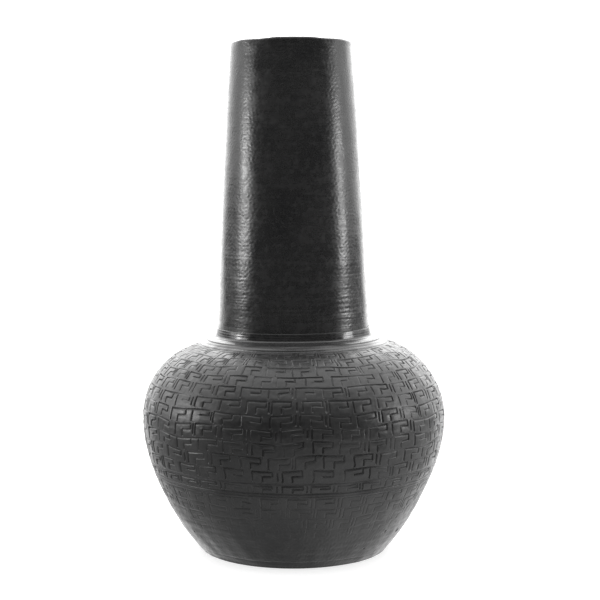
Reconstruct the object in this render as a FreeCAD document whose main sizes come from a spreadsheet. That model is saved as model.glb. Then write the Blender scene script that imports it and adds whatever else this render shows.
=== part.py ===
import FreeCAD, Part
import math
import os
import Sketcher

# Black clay bottle vase: a squat round body on a flat foot, and a tall tapering neck.
# Millimetres, +Z up. The origin is the centre of the flat foot, on the surface it stands on.
# The wall is built from clay members: a base disc, three courses of wall, a collar, a neck in
# two lengths and a lip, luted to each other on bevelled seams, with a coil pressed into each of
# the two inside corners. Every member is a ring of one section, turned about its own axis.

# Driving dimensions. Angles are in degrees, seen from the centre of the arc they lie on.
SIZES = {
    "overall_height": 350,      # foot to lip
    "equator_radius": 105,      # widest point of the body, outside
    "equator_height": 92.5,
    "shoulder_arc": 52.5,       # outside radius of the wall's section above the equator
    "belly_arc": 106,           # the same, below the equator
    "bowl_arc": 200,            # the same, on the flatter wall down to the foot
    "bowl_turn": 23.3,          # below the equator: belly_arc changes to bowl_arc
    "ring_seam": 20.3,          # below the equator: lower bowl meets belly course
    "shoulder_seam": 29,        # above the equator: belly course meets shoulder course
    "shoulder_scarf": 6,        # how much further up that seam ends inside
    "wall": 7,
    "base_thick": 8,
    "base_bevel": 3,            # fall of the base disc's bevelled rim
    "recess_radius": 50,        # shallow hollow turned under the foot
    "recess_depth": 2,
    "foot_round": 1.2,
    "foot_coil_width": 8.5,     # coil pressed into the corner inside the foot
    "foot_coil_rise": 8,
    "foot_coil_hollow": 22,
    "cove_turn": 73,            # above the equator: the shoulder starts to sweep up
    "cove_arc": 18,
    "cove_end": 35,
    "seat_height": 147.2,       # plane the neck and its collar stand on
    "seat_reach": 64,
    "seat_clear": 6,
    "neck_lean": 0.5,           # the neck stands a little out of plumb, towards -X
    "gallery_depth": 2.5,       # step in the shoulder that locates the neck's foot
    "neck_root": 53.3,          # outside radii of the neck, from the seat up
    "neck_flare": 52.4,
    "neck_waist": 48.75,
    "neck_top": 42.15,
    "neck_wall": 6,
    "flare_height": 12,         # heights above the seat
    "neck_seam": 85,
    "neck_bevel": 4,
    "neck_swell": 4400,         # radius of the upper neck's slight outward curve
    "lip_seam": 192,
    "lip_bevel": 3,
    "lip_radius": 41.6,
    "lip_round": 1.6,
    "collar_foot": 60.4,        # collar section, outside radii and heights above the seat
    "collar_waist": 54.9,
    "collar_rise": 4.4,
    "collar_cove": 8,
    "collar_edge": 53.9,
    "collar_height": 7.6,
    "neck_coil_thick": 2.5,     # coil smeared over the inside of the neck's joint
    "neck_coil_above": 7,
    "neck_coil_below": 8,
    "ring_width": 1.2,          # incised rings
    "ring_depth": 0.6,
    "lower_ring": 19.3,
    "upper_ring": 15.3,
    "cove_ring": 64.5,
}

doc = FreeCAD.newDocument("black_clay_vase")
sheet = doc.addObject("Spreadsheet::Sheet", "Vase")
for row, (alias, size) in enumerate(SIZES.items(), start=1):
    sheet.set(f"A{row}", alias)
    sheet.set(f"B{row}", str(size))
    sheet.setAlias(f"B{row}", alias)
doc.recompute()


def value(expression):
    """The number that an expression over the sheet gives now."""
    result = sheet.evalExpression(expression)
    return float(getattr(result, "Value", result))


# ---- points of a section, each a pair of expressions: across (from the axis) and up ----

def polar(centre, radius, angle):
    """The point at an angle above the horizontal on an arc about centre."""
    across = f"{centre[0]} + ({radius}) * cos({angle})"
    up = f"{centre[1]} + ({radius}) * sin({angle})"
    return across, up


def at_height(centre, radius, height):
    """The outer point of an arc about centre at a height."""
    across = f"{centre[0]} + sqrt(({radius})^2 - ({height} - ({centre[1]}))^2)"
    return across, height


def at_distance(centre, radius, across):
    """The upper point of an arc about centre at a distance from the axis."""
    up = f"{centre[1]} + sqrt(({radius})^2 - ({across} - ({centre[0]}))^2)"
    return across, up


# Centres of the arcs of the body's outline. Neighbouring arcs share a tangent.
SHOULDER_CENTRE = ("Vase.equator_radius - Vase.shoulder_arc", "Vase.equator_height")
BELLY_CENTRE = ("Vase.equator_radius - Vase.belly_arc", "Vase.equator_height")
BOWL_CENTRE = polar(BELLY_CENTRE, "Vase.belly_arc - Vase.bowl_arc", "-Vase.bowl_turn")
COVE_CENTRE = polar(SHOULDER_CENTRE, "Vase.shoulder_arc + Vase.cove_arc", "Vase.cove_turn")

INNER_SHOULDER_ARC = "Vase.shoulder_arc - Vase.wall"
INNER_BELLY_ARC = "Vase.belly_arc - Vase.wall"
INNER_BOWL_ARC = "Vase.bowl_arc - Vase.wall"

# Corners that two members share.
BASE_RIM = at_height(BOWL_CENTRE, "Vase.bowl_arc", "Vase.base_thick - Vase.base_bevel")
BASE_CORNER = at_height(BOWL_CENTRE, INNER_BOWL_ARC, "Vase.base_thick")
RING_SEAM = polar(BELLY_CENTRE, "Vase.belly_arc", "-Vase.ring_seam")
INNER_RING_SEAM = polar(BELLY_CENTRE, INNER_BELLY_ARC, "-Vase.bowl_turn")
SHOULDER_SEAM = polar(SHOULDER_CENTRE, "Vase.shoulder_arc", "Vase.shoulder_seam")
INNER_SHOULDER_SEAM = polar(SHOULDER_CENTRE, INNER_SHOULDER_ARC,
                            "(Vase.shoulder_seam + Vase.shoulder_scarf)")

# The neck's members are drawn from the middle of the seat, along the leaning axis.
NECK_BORE = "Vase.neck_root - Vase.neck_wall"
NECK_SEAM = ("Vase.neck_waist", "Vase.neck_seam")
INNER_NECK_SEAM = ("Vase.neck_waist - Vase.neck_wall", "Vase.neck_seam + Vase.neck_bevel")
LIP_SEAM = ("Vase.neck_top", "Vase.lip_seam")
INNER_LIP_SEAM = ("Vase.neck_top - Vase.neck_wall", "Vase.lip_seam + Vase.lip_bevel")
COLLAR_TOP = ("Vase.neck_root - (Vase.neck_root - Vase.neck_flare) * Vase.collar_height"
              " / Vase.flare_height", "Vase.collar_height")


# ---- sketches and features ----

def arc_side(start, end, radius, turn):
    """An arc from start to end. turn is 1 for a side that bulges out, -1 for one that bulges in."""
    chord = end - start
    reach = math.sqrt(radius ** 2 - (chord.Length / 2) ** 2)
    to_left = FreeCAD.Vector(-chord.y, chord.x, 0).normalize()
    centre = (start + end) / 2 + to_left * reach * turn
    first, last = (start, end) if turn > 0 else (end, start)
    angles = [math.atan2(point.y - centre.y, point.x - centre.x) for point in (first, last)]
    circle = Part.Circle(centre, FreeCAD.Vector(0, 0, 1), radius)
    return Part.ArcOfCircle(circle, angles[0], angles[1])


def fix_corner(sketch, side, end, name, across, up):
    """Ties a corner's two coordinates to the sheet."""
    for kind, axis, expression in (("DistanceX", -2, across), ("DistanceY", -1, up)):
        if expression == "0":
            sketch.addConstraint(Sketcher.Constraint("PointOnObject", side, end, axis))
            continue
        size = value(expression)
        index = sketch.addConstraint(Sketcher.Constraint(kind, -1, 1, side, end, size))
        sketch.renameConstraint(index, f"{name}_{kind[-1]}")
        sketch.setExpression(f"Constraints.{name}_{kind[-1]}", expression)


def outline(body, name, corners, leaning=False):
    """A closed outline on the body's XZ plane, drawn anticlockwise.

    A corner is (across, up), or (across, up, radius, turn) where the side that leaves it is an arc.
    """
    sketch = body.newObject("Sketcher::SketchObject", name)
    plane = [item for item in body.Origin.OriginFeatures if item.Role == "XZ_Plane"][0]
    sketch.AttachmentSupport = [(plane, "")]
    sketch.MapMode = "FlatFace"
    if leaning:
        sketch.AttachmentOffset = FreeCAD.Placement(
            FreeCAD.Vector(0, value("Vase.seat_height"), 0),
            FreeCAD.Rotation(FreeCAD.Vector(0, 0, 1), value("Vase.neck_lean")))
        sketch.setExpression("AttachmentOffset.Base.y", "Vase.seat_height")
        sketch.setExpression("AttachmentOffset.Rotation.Angle", "Vase.neck_lean")
    points = [FreeCAD.Vector(value(corner[0]), value(corner[1]), 0) for corner in corners]
    ends = []
    for index, corner in enumerate(corners):
        start = points[index]
        end = points[(index + 1) % len(points)]
        if len(corner) == 2:
            sketch.addGeometry(Part.LineSegment(start, end))
            ends.append((1, 2))
        else:
            radius, turn = corner[2:]
            sketch.addGeometry(arc_side(start, end, value(radius), turn))
            ends.append((1, 2) if turn > 0 else (2, 1))
    for index, corner in enumerate(corners):
        following = (index + 1) % len(corners)
        sketch.addConstraint(Sketcher.Constraint(
            "Coincident", index, ends[index][1], following, ends[following][0]))
        fix_corner(sketch, index, ends[index][0], f"corner{index}", corner[0], corner[1])
        if len(corner) == 4:
            radius = Sketcher.Constraint("Radius", index, value(corner[2]))
            sketch.renameConstraint(sketch.addConstraint(radius), f"arc{index}")
            sketch.setExpression(f"Constraints.arc{index}", corner[2])
    return sketch


def turn_section(body, name, corners, leaning=False, kind="Revolution"):
    """Turns an outline about its own upright axis, to add clay or (kind "Groove") to cut it."""
    sketch = outline(body, f"{name}_outline", corners, leaning)
    doc.recompute()
    before = body.Shape.Volume if kind == "Groove" else 0
    feature = body.newObject(f"PartDesign::{kind}", name)
    feature.Profile = sketch
    feature.ReferenceAxis = (sketch, ["V_Axis"])
    feature.Angle = 360
    sketch.Visibility = False
    doc.recompute()
    if kind == "Groove" and not body.Shape.Volume < before:
        raise RuntimeError(f"{name} cuts nothing")
    return feature


def member(name, corners, leaning=False):
    """A body whose first feature is the turned section."""
    body = doc.addObject("PartDesign::Body", name)
    body.Label = name
    turn_section(body, f"{name}_ring", corners, leaning)
    return body


def incise(body, name, centre, radius, angle, inward=-1):
    """Cuts a V-shaped ring into an arc of the outline; inward is the side the clay is on."""
    half = f"atan(Vase.ring_width / 2 / ({radius}))"
    lift = f"{radius} - ({inward}) * Vase.ring_depth / 2"
    tip = f"{radius} + ({inward}) * Vase.ring_depth"
    corners = [polar(centre, lift, f"({angle}) * 1 deg - {half}"),
               polar(centre, lift, f"({angle}) * 1 deg + {half}"),
               polar(centre, tip, f"({angle}) * 1 deg")]
    turn_section(body, name, corners, kind="Groove")


# ---- the members, from the foot up ----

def make_base_disc():
    foot_edge = at_height(BOWL_CENTRE, "Vase.bowl_arc", "0")
    body = member("base_disc", [
        ("0", "Vase.recess_depth"),
        ("Vase.recess_radius", "Vase.recess_depth"),
        ("Vase.recess_radius + Vase.recess_depth", "0"),
        (*foot_edge, "Vase.bowl_arc", 1),
        BASE_RIM,
        BASE_CORNER,
        ("0", "Vase.base_thick")])
    disc = body.Tip
    names = [f"Edge{number}" for number, edge in enumerate(disc.Shape.Edges, start=1)
             if abs(edge.BoundBox.ZMax) < 0.01
             and abs(edge.BoundBox.XMax - value(foot_edge[0])) < 0.01]
    rounding = body.newObject("PartDesign::Fillet", "foot_rounding")
    rounding.Base = (disc, names)
    rounding.setExpression("Radius", "Vase.foot_round")
    body.Tip = rounding
    return body


def make_foot_coil():
    top = at_height(BOWL_CENTRE, INNER_BOWL_ARC, "Vase.base_thick + Vase.foot_coil_rise")
    return member("foot_coil", [
        (f"{BASE_CORNER[0]} - Vase.foot_coil_width", "Vase.base_thick"),
        (*BASE_CORNER, INNER_BOWL_ARC, 1),
        (*top, "Vase.foot_coil_hollow", -1)])


def make_lower_bowl():
    return member("lower_bowl", [
        (*BASE_RIM, "Vase.bowl_arc", 1),
        (*polar(BELLY_CENTRE, "Vase.belly_arc", "-Vase.bowl_turn"), "Vase.belly_arc", 1),
        RING_SEAM,
        (*INNER_RING_SEAM, INNER_BOWL_ARC, -1),
        BASE_CORNER])


def make_belly_course():
    body = member("belly_course", [
        (*RING_SEAM, "Vase.belly_arc", 1),
        ("Vase.equator_radius", "Vase.equator_height", "Vase.shoulder_arc", 1),
        SHOULDER_SEAM,
        (*INNER_SHOULDER_SEAM, INNER_SHOULDER_ARC, -1),
        ("Vase.equator_radius - Vase.wall", "Vase.equator_height", INNER_BELLY_ARC, -1),
        INNER_RING_SEAM])
    for name, angle in (("lower_ring", "-Vase.lower_ring"), ("upper_ring", "-Vase.upper_ring")):
        incise(body, name, BELLY_CENTRE, "Vase.belly_arc", angle)
    return body


def make_shoulder_course():
    # The blank runs past the seat and the bore, which are then cut square to the leaning neck.
    cove_top = polar(COVE_CENTRE, "-Vase.cove_arc", "Vase.cove_end")
    blank_bore = f"{NECK_BORE} - Vase.neck_coil_thick"
    body = member("shoulder_course", [
        (*SHOULDER_SEAM, "Vase.shoulder_arc", 1),
        (*polar(SHOULDER_CENTRE, "Vase.shoulder_arc", "Vase.cove_turn"), "Vase.cove_arc", -1),
        cove_top,
        (blank_bore, cove_top[1]),
        (*at_distance(SHOULDER_CENTRE, INNER_SHOULDER_ARC, f"({blank_bore})"),
         INNER_SHOULDER_ARC, -1),
        INNER_SHOULDER_SEAM])
    turn_section(body, "neck_seat", [
        (f"({NECK_BORE}) / 2", "-Vase.neck_coil_below * 2"),
        (NECK_BORE, "-Vase.neck_coil_below * 2"),
        (NECK_BORE, "-Vase.gallery_depth"),
        ("Vase.neck_root", "-Vase.gallery_depth"),
        ("Vase.neck_root", "0"),
        ("Vase.seat_reach", "0"),
        ("Vase.seat_reach", "Vase.seat_clear"),
        (f"({NECK_BORE}) / 2", "Vase.seat_clear")], leaning=True, kind="Groove")
    incise(body, "cove_ring", COVE_CENTRE, "-Vase.cove_arc", "Vase.cove_ring")
    return body


def make_neck_coil():
    inner = f"{NECK_BORE} - Vase.neck_coil_thick"
    return member("neck_coil", [
        (inner, "Vase.neck_coil_thick - Vase.neck_coil_below"),
        (NECK_BORE, "-Vase.neck_coil_below"),
        (NECK_BORE, "Vase.neck_coil_above"),
        (inner, "Vase.neck_coil_above - Vase.neck_coil_thick")], leaning=True)


def make_neck_collar():
    return member("neck_collar", [
        ("Vase.neck_root", "0"),
        ("Vase.collar_foot", "0", "Vase.collar_cove", -1),
        ("Vase.collar_waist", "Vase.collar_rise"),
        ("Vase.collar_edge", "Vase.collar_height"),
        COLLAR_TOP], leaning=True)


def make_lower_neck():
    return member("lower_neck", [
        (NECK_BORE, "-Vase.gallery_depth"),
        ("Vase.neck_root", "-Vase.gallery_depth"),
        ("Vase.neck_root", "0"),
        ("Vase.neck_flare", "Vase.flare_height"),
        NECK_SEAM,
        INNER_NECK_SEAM,
        (NECK_BORE, "Vase.neck_coil_above")], leaning=True)


def make_upper_neck():
    return member("upper_neck", [
        (*NECK_SEAM, "Vase.neck_swell", 1),
        LIP_SEAM,
        INNER_LIP_SEAM,
        INNER_NECK_SEAM], leaning=True)


def make_lip_coil():
    top = "Vase.overall_height - Vase.seat_height"
    return member("lip_coil", [
        LIP_SEAM,
        ("Vase.lip_radius", f"{top} - Vase.lip_round", "Vase.lip_round", 1),
        ("Vase.lip_radius - Vase.lip_round", top),
        (f"{INNER_LIP_SEAM[0]} + Vase.lip_round", top, "Vase.lip_round", 1),
        (INNER_LIP_SEAM[0], f"{top} - Vase.lip_round"),
        INNER_LIP_SEAM], leaning=True)


members = [make_base_disc(), make_foot_coil(), make_lower_bowl(), make_belly_course(),
           make_shoulder_course(), make_neck_coil(), make_neck_collar(), make_lower_neck(),
           make_upper_neck(), make_lip_coil()]
doc.recompute()

for item in doc.Objects:
    if {"Invalid", "Error"} & set(item.State):
        raise RuntimeError(f"{item.Label} failed: {item.State}")
for body in members:
    if body.Shape.isNull() or not body.Shape.isValid() or len(body.Shape.Solids) != 1:
        raise RuntimeError(f"{body.Label} is not one valid solid")

os.makedirs("parts", exist_ok=True)
for body in members:
    body.Shape.exportStep(f"parts/{body.Label}.step")
    print(body.Label, round(body.Shape.Volume / 1000, 1), "cm3")
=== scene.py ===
import math

import bpy
import numpy as np
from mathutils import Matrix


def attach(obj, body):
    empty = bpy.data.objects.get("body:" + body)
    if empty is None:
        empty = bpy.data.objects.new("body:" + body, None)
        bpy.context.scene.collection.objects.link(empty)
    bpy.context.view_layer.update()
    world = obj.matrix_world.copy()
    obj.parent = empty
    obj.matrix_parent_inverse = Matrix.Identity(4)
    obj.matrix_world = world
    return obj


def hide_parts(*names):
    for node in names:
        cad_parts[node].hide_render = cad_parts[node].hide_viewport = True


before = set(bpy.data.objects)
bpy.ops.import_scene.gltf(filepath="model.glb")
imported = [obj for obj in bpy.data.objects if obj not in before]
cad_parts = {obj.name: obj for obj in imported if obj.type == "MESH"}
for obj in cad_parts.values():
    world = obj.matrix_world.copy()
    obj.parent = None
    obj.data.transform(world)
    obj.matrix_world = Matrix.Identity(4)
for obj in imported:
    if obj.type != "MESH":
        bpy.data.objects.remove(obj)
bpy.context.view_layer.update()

# Black clay bottle vase: burnished neck and foot, and a body stamped all over with small frets.
# Sections are in millimetres and angles in degrees; meshes are in metres.
MM = 0.001

# ---- the wall's section, as the frame has it ----
EQUATOR_RADIUS = 105.0
EQUATOR_HEIGHT = 92.5
SHOULDER_ARC = 52.5
BELLY_ARC = 106.0
BOWL_ARC = 200.0
BOWL_TURN = 23.3
COVE_ARC = 18.0
COVE_TURN = 73.0
WALL = 7.0
RING_SEAM = 20.3
SHOULDER_SEAM = 29.0
SHOULDER_SCARF = 6.0
BASE_SEAM_HEIGHT = 5.0
FLOOR_HEIGHT = 8.0
RECESS_RADIUS = 50.0
RECESS_DEPTH = 2.0
FOOT_ROUND = 1.2
SEAT_HEIGHT = 147.2
GALLERY_DEPTH = 2.5
NECK_LEAN = 0.5
LEAN_START = 120.0
NECK_ROOT = 53.3
NECK_FLARE = 52.4
FLARE_HEIGHT = 12.0
NECK_WAIST = 48.75
NECK_TOP = 42.15
NECK_SEAM = 85.0
NECK_BEVEL = 4.0
NECK_SWELL = 4400.0
NECK_WALL = 6.0
NECK_BORE = NECK_ROOT - NECK_WALL
LIP_SEAM = 192.0
LIP_BEVEL = 3.0
LIP_RADIUS = 41.6
LIP_ROUND = 1.6
NECK_HEIGHT = 202.8
COLLAR_FOOT = 60.4
COLLAR_WAIST = 54.9
COLLAR_RISE = 4.4
COLLAR_EDGE = 53.9
COLLAR_HEIGHT = 7.6
COLLAR_BORE = 52.73
COIL_THICK = 2.5
COIL_ABOVE = 7.0
COIL_BELOW = 8.0
LOWER_RING_TURN = 19.3
UPPER_RING_TURN = 15.3
COVE_RING_TURN = 64.5

# ---- stamped frets and incised rings ----
FRET_WIDTH = 13.5           # at the equator, from leg to leg
FRET_PITCH = 1.42           # widths from one fret to the next
GROOVE_EDGE = 0.80          # half the width of a pressed line, to the top of its burr
GROOVE_SIDE = 0.43          # from its middle to the mesh line half-way up its side
GROOVE_DEPTH = 0.62
BURR = 0.045                # height of the clay pushed up beside a line
ROW_MARGIN = 0.3            # smooth strip left between rows
LEAST_GAP = 3.7             # mm, the least clear clay from one fret to the next
HOOKED_SHARE = 0.88         # frets whose hook turns down at its end
BAR_SHARE = 0.48            # gaps that hold an upright bar
RUN_ON_SHARE = 0.4          # other gaps that a line crosses to the next fret
FADE_HEIGHT = 25.0          # where the lowest stamped row starts

# How hard each row was pressed, from the lowest row of a course to its highest
BOWL_FIRMNESS = (0.14, 0.26, 0.38, 0.5)
RING_FIRMNESS = (0.85,)
BELLY_FIRMNESS = (1.0,) * 6
SHOULDER_FIRMNESS = (0.95, 0.85, 0.78, 0.68, 0.55)

# ---- mesh fineness ----
FINE = 0.1                  # section points along an arc, mm
SEAM_COLUMNS = 720
NECK_COLUMNS = 480
INSIDE_COLUMNS = 160
PLAIN_STEP = 0.75           # mm from ring to ring on a plain outside
DETAIL_STEP = 0.35          # on the collar and the lip
INSIDE_STEP = 2.4
SEAM_CLEAR = 1.5            # from an inside seam to the first ring
NUDGE = 0.06                # mm, the step over which a slope is taken
NORMAL_REACH = 0.25         # mm each way along the section, for its outward normal

# Finishes of a face
BURNISHED, RAW, POLISHED = 0, 1, 2


# ---- section lines ----

def polar(centre, radius, angle):
    """The point at an angle above the horizontal on an arc about centre."""
    turn = math.radians(angle)
    return (centre[0] + radius * math.cos(turn), centre[1] + radius * math.sin(turn))


def arc(centre, radius, start, end):
    """Points along an arc, from one angle to another."""
    count = max(3, int(abs(math.radians(end - start) * radius) / FINE))
    turns = np.radians(np.linspace(start, end, count))
    return np.column_stack((centre[0] + radius * np.cos(turns), centre[1] + radius * np.sin(turns)))


def straight(*corners):
    """Points along straight runs from corner to corner."""
    runs = []
    for start, end in zip(corners, corners[1:]):
        count = max(2, int(math.dist(start, end) / FINE))
        runs.append(np.linspace(start, end, count))
    return np.concatenate(runs)


def angle_at(centre, radius, height):
    """The angle at which an arc about centre reaches a height."""
    return math.degrees(math.asin((height - centre[1]) / radius))


def smoothstep(value):
    share = np.clip(value, 0.0, 1.0)
    return share * share * (3.0 - 2.0 * share)


class Outline:
    """One side of the wall's section, measured in mm along it from its lower end."""

    def __init__(self, *runs, zero_height=None):
        points = np.concatenate(runs)
        steps = np.hypot(*np.diff(points, axis=0).T)
        keep = np.append(True, steps > 1e-6)
        self.points = points[keep]
        self.along = np.append(0.0, np.cumsum(steps[keep[1:]]))
        if zero_height is not None:
            self.along -= self.where(zero_height)

    def where(self, height):
        """The distance along at which the line passes a height."""
        return float(np.interp(height, self.points[:, 1], self.along))

    def at(self, along):
        """Radius, height, and the outward normal's two parts."""
        ahead = [np.interp(along + NORMAL_REACH, self.along, side) for side in self.points.T]
        behind = [np.interp(along - NORMAL_REACH, self.along, side) for side in self.points.T]
        across = ahead[0] - behind[0]
        up = ahead[1] - behind[1]
        length = np.hypot(across, up)
        radius, height = (np.interp(along, self.along, side) for side in self.points.T)
        return radius, height, up / length, -across / length

    @property
    def low(self):
        return float(self.along[0])

    @property
    def high(self):
        return float(self.along[-1])


SHOULDER_CENTRE = (EQUATOR_RADIUS - SHOULDER_ARC, EQUATOR_HEIGHT)
BELLY_CENTRE = (EQUATOR_RADIUS - BELLY_ARC, EQUATOR_HEIGHT)
BOWL_CENTRE = polar(BELLY_CENTRE, BELLY_ARC - BOWL_ARC, -BOWL_TURN)
COVE_CENTRE = polar(SHOULDER_CENTRE, SHOULDER_ARC + COVE_ARC, COVE_TURN)
COVE_END = math.degrees(math.asin((COVE_CENTRE[1] - SEAT_HEIGHT) / COVE_ARC))
BORE_TURN = math.degrees(math.acos((NECK_BORE - SHOULDER_CENTRE[0]) / (SHOULDER_ARC - WALL)))

OUTSIDE = Outline(
    arc(BOWL_CENTRE, BOWL_ARC, angle_at(BOWL_CENTRE, BOWL_ARC, 0.0), -BOWL_TURN),
    arc(BELLY_CENTRE, BELLY_ARC, -BOWL_TURN, 0.0),
    arc(SHOULDER_CENTRE, SHOULDER_ARC, 0.0, COVE_TURN),
    arc(COVE_CENTRE, -COVE_ARC, COVE_TURN, COVE_END),
    zero_height=EQUATOR_HEIGHT)

INSIDE = Outline(
    arc(BOWL_CENTRE, BOWL_ARC - WALL,
        angle_at(BOWL_CENTRE, BOWL_ARC - WALL, FLOOR_HEIGHT), -BOWL_TURN),
    arc(BELLY_CENTRE, BELLY_ARC - WALL, -BOWL_TURN, 0.0),
    arc(SHOULDER_CENTRE, SHOULDER_ARC - WALL, 0.0, BORE_TURN),
    straight(polar(SHOULDER_CENTRE, SHOULDER_ARC - WALL, BORE_TURN),
             (NECK_BORE, SEAT_HEIGHT - GALLERY_DEPTH)),
    zero_height=EQUATOR_HEIGHT)


def swelling(start, end, radius):
    """Points on a slightly bulging side from a lower to an upper corner."""
    start, end = np.array(start), np.array(end)
    chord = end - start
    length = math.hypot(*chord)
    outward = np.array((chord[1], -chord[0])) / length
    share = np.linspace(0.0, 1.0, int(length / FINE))[:, None]
    rise = (length * share) * (length * (1.0 - share)) / (2.0 * radius)
    return start + chord * share + outward * rise


# Heights on the neck are measured from the seat.
NECK_OUTSIDE = Outline(
    straight((NECK_ROOT, -GALLERY_DEPTH), (NECK_ROOT, 0.0), (NECK_FLARE, FLARE_HEIGHT),
             (NECK_WAIST, NECK_SEAM)),
    swelling((NECK_WAIST, NECK_SEAM), (NECK_TOP, LIP_SEAM), NECK_SWELL),
    straight((NECK_TOP, LIP_SEAM), (LIP_RADIUS, NECK_HEIGHT - LIP_ROUND)),
    arc((LIP_RADIUS - LIP_ROUND, NECK_HEIGHT - LIP_ROUND), LIP_ROUND, 0.0, 89.0),
    zero_height=0.0)

LIP_BORE = NECK_TOP - NECK_WALL
NECK_INSIDE = Outline(
    straight((NECK_BORE, -GALLERY_DEPTH), (NECK_BORE, COIL_ABOVE),
             (NECK_WAIST - NECK_WALL, NECK_SEAM + NECK_BEVEL),
             (LIP_BORE, LIP_SEAM + LIP_BEVEL), (LIP_BORE, NECK_HEIGHT - LIP_ROUND)),
    arc((LIP_BORE + LIP_ROUND, NECK_HEIGHT - LIP_ROUND), -LIP_ROUND, 0.0, -89.0),
    zero_height=0.0)


# ---- unevenness left by the hand ----

def uneven(phi, along, wavelength, seed, stretch=1.0, girth_radius=EQUATOR_RADIUS, waves=26):
    """Smooth repeatable noise of about unit size that closes on itself round the wall.

    stretch draws it out round the wall, as a finger or a rib does on a turning pot.
    """
    draw = np.random.default_rng(seed)
    heading = draw.uniform(0.0, math.pi, waves)
    lengths = wavelength * draw.uniform(0.72, 1.4, waves)
    turns = np.round(np.cos(heading) * 2 * math.pi * girth_radius / (lengths * stretch))
    rates = np.sin(heading) * 2 * math.pi / lengths
    shifts = draw.uniform(0.0, 2 * math.pi, waves)
    total = np.zeros(np.broadcast(phi, along).shape)
    for turn, rate, shift in zip(turns, rates, shifts):
        total += np.cos(turn * phi + rate * along + shift)
    return total * math.sqrt(2.0 / waves)


# The flake lost from the foot's edge
CHIP_ANGLE = 199.0
CHIP_LENGTH = 11.0
CHIP_HEIGHT = 2.8
CHIP_DEPTH = 1.4

# Pinholes that grit left in the bowl: angle, height, radius and depth
PINHOLES = ((333.0, 18.5, 1.6, 1.2), (319.0, 22.5, 1.3, 0.7), (342.0, 38.0, 1.1, 0.5),
            (309.0, 12.0, 0.9, 0.4), (214.0, 20.0, 1.0, 0.45), (96.0, 19.0, 1.3, 0.8))

# Places of rings and seams along the wall, in mm from the equator
RING_PLACE = -BELLY_ARC * math.radians(RING_SEAM)
LOWER_RING = -BELLY_ARC * math.radians(LOWER_RING_TURN)
UPPER_RING = -BELLY_ARC * math.radians(UPPER_RING_TURN)
SHOULDER_PLACE = SHOULDER_ARC * math.radians(SHOULDER_SEAM)
COVE_RING = (SHOULDER_ARC * math.radians(COVE_TURN)
             + COVE_ARC * math.radians(COVE_TURN - COVE_RING_TURN))
BASE_PLACE = OUTSIDE.where(BASE_SEAM_HEIGHT)
FADE_PLACE = OUTSIDE.where(FADE_HEIGHT)
INSIDE_RING_PLACE = -(BELLY_ARC - WALL) * math.radians(BOWL_TURN)
INSIDE_SHOULDER_PLACE = (SHOULDER_ARC - WALL) * math.radians(SHOULDER_SEAM + SHOULDER_SCARF)

# Rings turned into the wall: place along it, and depth
TURNED_RINGS = ((BASE_PLACE, 0.10), (RING_PLACE, 0.34), (LOWER_RING, 0.55), (UPPER_RING, 0.30),
                (COVE_RING, 0.30), (OUTSIDE.high - 5.6, 0.05), (OUTSIDE.high - 3.5, 0.11),
                (OUTSIDE.high - 1.0, 0.22))


def groove(distance):
    """How deep a pressed line is at a distance from its middle, from 1 to 0."""
    return smoothstep((GROOVE_EDGE - 0.04 - distance) / (GROOVE_EDGE - 0.18))


def burr(distance):
    """The clay that a pressed line pushes up beside it, from 1 to 0."""
    return np.exp(-((distance - GROOVE_EDGE - 0.05) / 0.24) ** 2)


def ring_cut(phi, along):
    """Depth of the turned rings at a place on the body, in mm."""
    cut = 0.0
    for place, depth in TURNED_RINGS:
        waver = 0.82 + 0.18 * uneven(phi, 0.0, 40.0, seed=61)
        cut = cut + depth * waver * groove(np.abs(along - place))
    return cut


def ring_press(phi, along):
    """How deep the rings and flaws cut in, from 0 to 1: the burnish is duller there and darkened
    with painted shade.
    """
    return np.clip((ring_cut(phi, along) + flaws(phi, along)) / GROOVE_DEPTH, 0.0, 1.0)


def round_to(phi, angle):
    """The angle in radians from a place round the wall, in degrees, the short way."""
    return (phi - math.radians(angle) + math.pi) % (2 * math.pi) - math.pi


def flaws(phi, along):
    """Depth of the flake at the foot's edge and of the pinholes, in mm."""
    foot_radius = OUTSIDE.points[0, 0]
    reach = np.hypot(round_to(phi, CHIP_ANGLE) * foot_radius / CHIP_LENGTH,
                     (along - OUTSIDE.low) / CHIP_HEIGHT)
    depth = CHIP_DEPTH * smoothstep((1.0 - reach) * 1.6)
    for angle, height, radius, deep in PINHOLES:
        place = OUTSIDE.where(height)
        apart = np.hypot(round_to(phi, angle) * OUTSIDE.at(place)[0], along - place)
        depth = depth + deep * smoothstep(1.15 - apart / radius)
    return depth


def body_relief(phi, along):
    """How far the outside of the body stands off its outline."""
    palm = 0.20 * uneven(phi, along, 75.0, seed=11)
    finger = 0.07 * uneven(phi, along, 19.0, seed=12)
    rib = 0.030 * uneven(phi, along, 4.5, seed=13, stretch=25.0)
    skin = 0.018 * uneven(phi, along, 3.4, seed=14, waves=34)
    seat = smoothstep((OUTSIDE.high - along) / 9.0)
    return (palm + finger + rib + skin) * seat - flaws(phi, along) - ring_cut(phi, along)


def neck_relief(phi, along):
    """The same for the neck, which was burnished over fine turning lines."""
    palm = 0.09 * uneven(phi, along, 60.0, seed=21, girth_radius=NECK_WAIST)
    finger = 0.022 * uneven(phi, along, 13.0, seed=22, girth_radius=NECK_WAIST)
    turned = smoothstep((95.0 - along) / 60.0) * 0.8 + 0.2
    lines = 0.013 * turned * uneven(phi, along, 2.3, seed=23, stretch=40.0,
                                    girth_radius=NECK_WAIST)
    peel = 0.011 * uneven(phi, along, 2.7, seed=24, girth_radius=NECK_WAIST, waves=40)
    free = smoothstep((along - COLLAR_HEIGHT + 1.0) / 6.0)
    return (palm + finger + lines + peel) * free


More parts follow.
